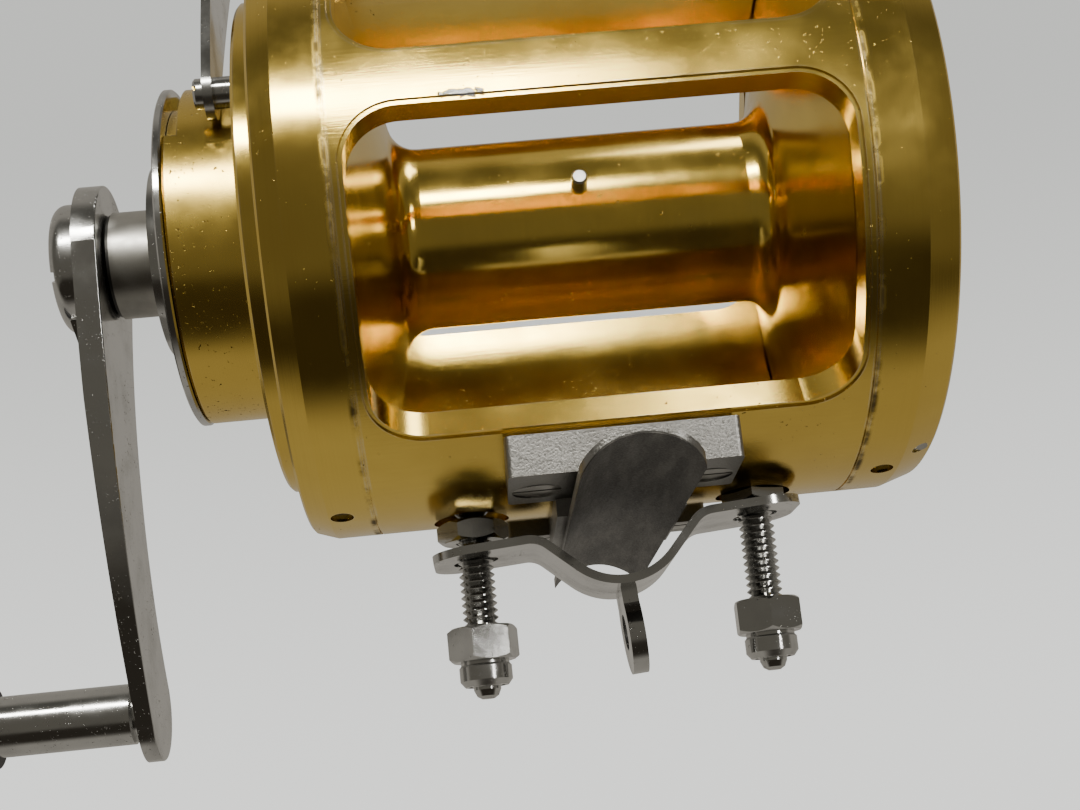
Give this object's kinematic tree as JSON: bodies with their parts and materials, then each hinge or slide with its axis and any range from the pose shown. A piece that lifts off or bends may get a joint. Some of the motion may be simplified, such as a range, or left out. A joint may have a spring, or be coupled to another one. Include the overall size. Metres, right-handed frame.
{
  "type": "trolling reel",
  "caption": "Conventional trolling fishing reel with a windowed gold frame, side crank, free-spool lever and a rod clamp.",
  "frame": {"origin": "axis of the clamped rod, below the middle of the spool", "axes": "+X along the spool away from the crank, +Y along the rod towards the reel's rear, +Z from the foot to the spool"},
  "size_m": [0.2151, 0.126, 0.1611],
  "materials": {
    "gold_polished": "polished",
    "gold_brushed": "brushed",
    "gold_pitted": "worn",
    "chrome": "chrome plated",
    "steel_dull": "dull",
    "steel_dark": "blackened",
    "foot_cast": "blasted",
    "black_grip": "satin",
    "bronze": "machined",
    "lining": "matte",
    "steel_bright": "ground"
  },
  "bodies": {
    "reel_body": {"frame": "gold_brushed", "crank_side_ring": "gold_polished", "far_side_ring": "gold_polished", "ring_set_screws": "steel_dull", "crank_side_cover": "gold_polished", "drive_housing": "gold_pitted", "far_side_cover": "gold_polished", "far_cover_screws": "steel_dull", "far_bearing_cap": "chrome", "far_side_plate": "gold_polished", "crank_side_plate": "gold_polished", "bearing_outer_races": "steel_bright", "bearing_balls": "steel_bright", "ring_gear": "bronze", "pawl_pin": "steel_bright", "drive_bush": "bronze", "lever_post": "chrome", "harness_lugs": "chrome", "foot": "foot_cast", "foot_screws": "steel_dull", "clamp_studs": "chrome", "jam_nuts": "chrome"},
    "spool_body": {"spool": "gold_polished", "line_peg": "steel_dull", "spool_shaft": "steel_bright", "drag_discs": "steel_bright", "drag_linings": "lining", "sun_gear": "steel_bright", "bearing_inner_races": "steel_bright", "click_gear": "steel_bright"},
    "crank": {"drive_shaft": "steel_bright", "planet_carrier": "steel_bright", "planet_pins": "steel_bright", "ratchet_wheel": "steel_bright", "crank_boss": "steel_dull", "crank_collar": "steel_dark", "crank_arm": "chrome", "crank_cap": "chrome", "cap_lock_strap": "chrome", "strap_screw": "steel_dull", "handle_spindle": "chrome", "knob_screw": "steel_dull"},
    "planet_1": {"planet_gear_1": "bronze"},
    "planet_2": {"planet_gear_2": "bronze"},
    "planet_3": {"planet_gear_3": "bronze"},
    "knob": {"handle_knob": "black_grip"},
    "drag_adjuster": {"drag_wheel": "chrome", "drag_grip_ring": "chrome"},
    "lever": {"free_spool_lever": "chrome", "lever_shaft": "steel_bright", "lever_screw": "chrome"},
    "plunger": {"clutch_plunger": "steel_bright"},
    "pawl": {"anti_reverse_pawl": "steel_bright"},
    "clicker": {"click_tongue": "steel_bright", "click_button": "chrome"},
    "clamp": {"rod_clamp": "chrome", "clamp_lug": "chrome"},
    "nut_left": {"clamp_nut_left": "chrome"},
    "nut_right": {"clamp_nut_right": "chrome"}
  },
  "joints": [
    {"name": "crank_turn", "type": "hinge", "parent": "reel_body", "child": "crank", "pos_m": [-0.08, 0, 0.0654], "axis": [1, 0, 0], "continuous": true},
    {"name": "spool_turn", "type": "hinge", "parent": "reel_body", "child": "spool_body", "pos_m": [0, 0, 0.0654], "axis": [1, 0, 0], "continuous": true},
    {"name": "planet_1_spin", "type": "hinge", "parent": "crank", "child": "planet_1", "pos_m": [-0.0617, 0, 0.0816], "axis": [1, 0, 0], "continuous": true},
    {"name": "planet_2_spin", "type": "hinge", "parent": "crank", "child": "planet_2", "pos_m": [-0.0617, -0.01403, 0.0573], "axis": [1, 0, 0], "continuous": true},
    {"name": "planet_3_spin", "type": "hinge", "parent": "crank", "child": "planet_3", "pos_m": [-0.0617, 0.01403, 0.0573], "axis": [1, 0, 0], "continuous": true},
    {"name": "knob_spin", "type": "hinge", "parent": "crank", "child": "knob", "pos_m": [-0.137, 0.02, -0.0146], "axis": [1, 0, 0], "continuous": true},
    {"name": "drag_adjust", "type": "hinge", "parent": "crank", "child": "drag_adjuster", "pos_m": [-0.074, 0, 0.0654], "axis": [1, 0, 0], "range_deg": [0, 270]},
    {"name": "lever_swing", "type": "hinge", "parent": "reel_body", "child": "lever", "pos_m": [-0.0621, -0.0305, 0.0832], "axis": [1, 0, 0], "range_deg": [0, 55]},
    {"name": "plunger_slide", "type": "slide", "parent": "reel_body", "child": "plunger", "axis": [1, 0, 0], "range_m": [0, 0.0012]},
    {"name": "pawl_swing", "type": "hinge", "parent": "reel_body", "child": "pawl", "pos_m": [-0.0682, -0.01391, 0.08321], "axis": [1, 0, 0], "range_deg": [-8, 4], "stiffness_Nm_per_rad": 0.002},
    {"name": "click_slide", "type": "slide", "parent": "reel_body", "child": "clicker", "axis": [0, 0, -1], "range_m": [0, 0.0022]},
    {"name": "clamp_slide", "type": "slide", "parent": "reel_body", "child": "clamp", "axis": [0, 0, -1], "range_m": [0, 0.0096]},
    {"name": "nut_left_turn", "type": "hinge", "parent": "reel_body", "child": "nut_left", "pos_m": [-0.0254, 0, -0.0102], "axis": [0, 0, 1], "continuous": true},
    {"name": "nut_right_turn", "type": "hinge", "parent": "reel_body", "child": "nut_right", "pos_m": [0.0254, 0, -0.0102], "axis": [0, 0, 1], "continuous": true}
  ],
  "couplings": [
    {"joint": "spool_turn", "follows": "crank_turn", "ratio": 3},
    {"joint": "planet_1_spin", "follows": "crank_turn", "ratio": -4},
    {"joint": "planet_2_spin", "follows": "crank_turn", "ratio": -4},
    {"joint": "planet_3_spin", "follows": "crank_turn", "ratio": -4},
    {"joint": "plunger_slide", "follows": "lever_swing", "m_per_rad": 0.0012501}
  ]
}
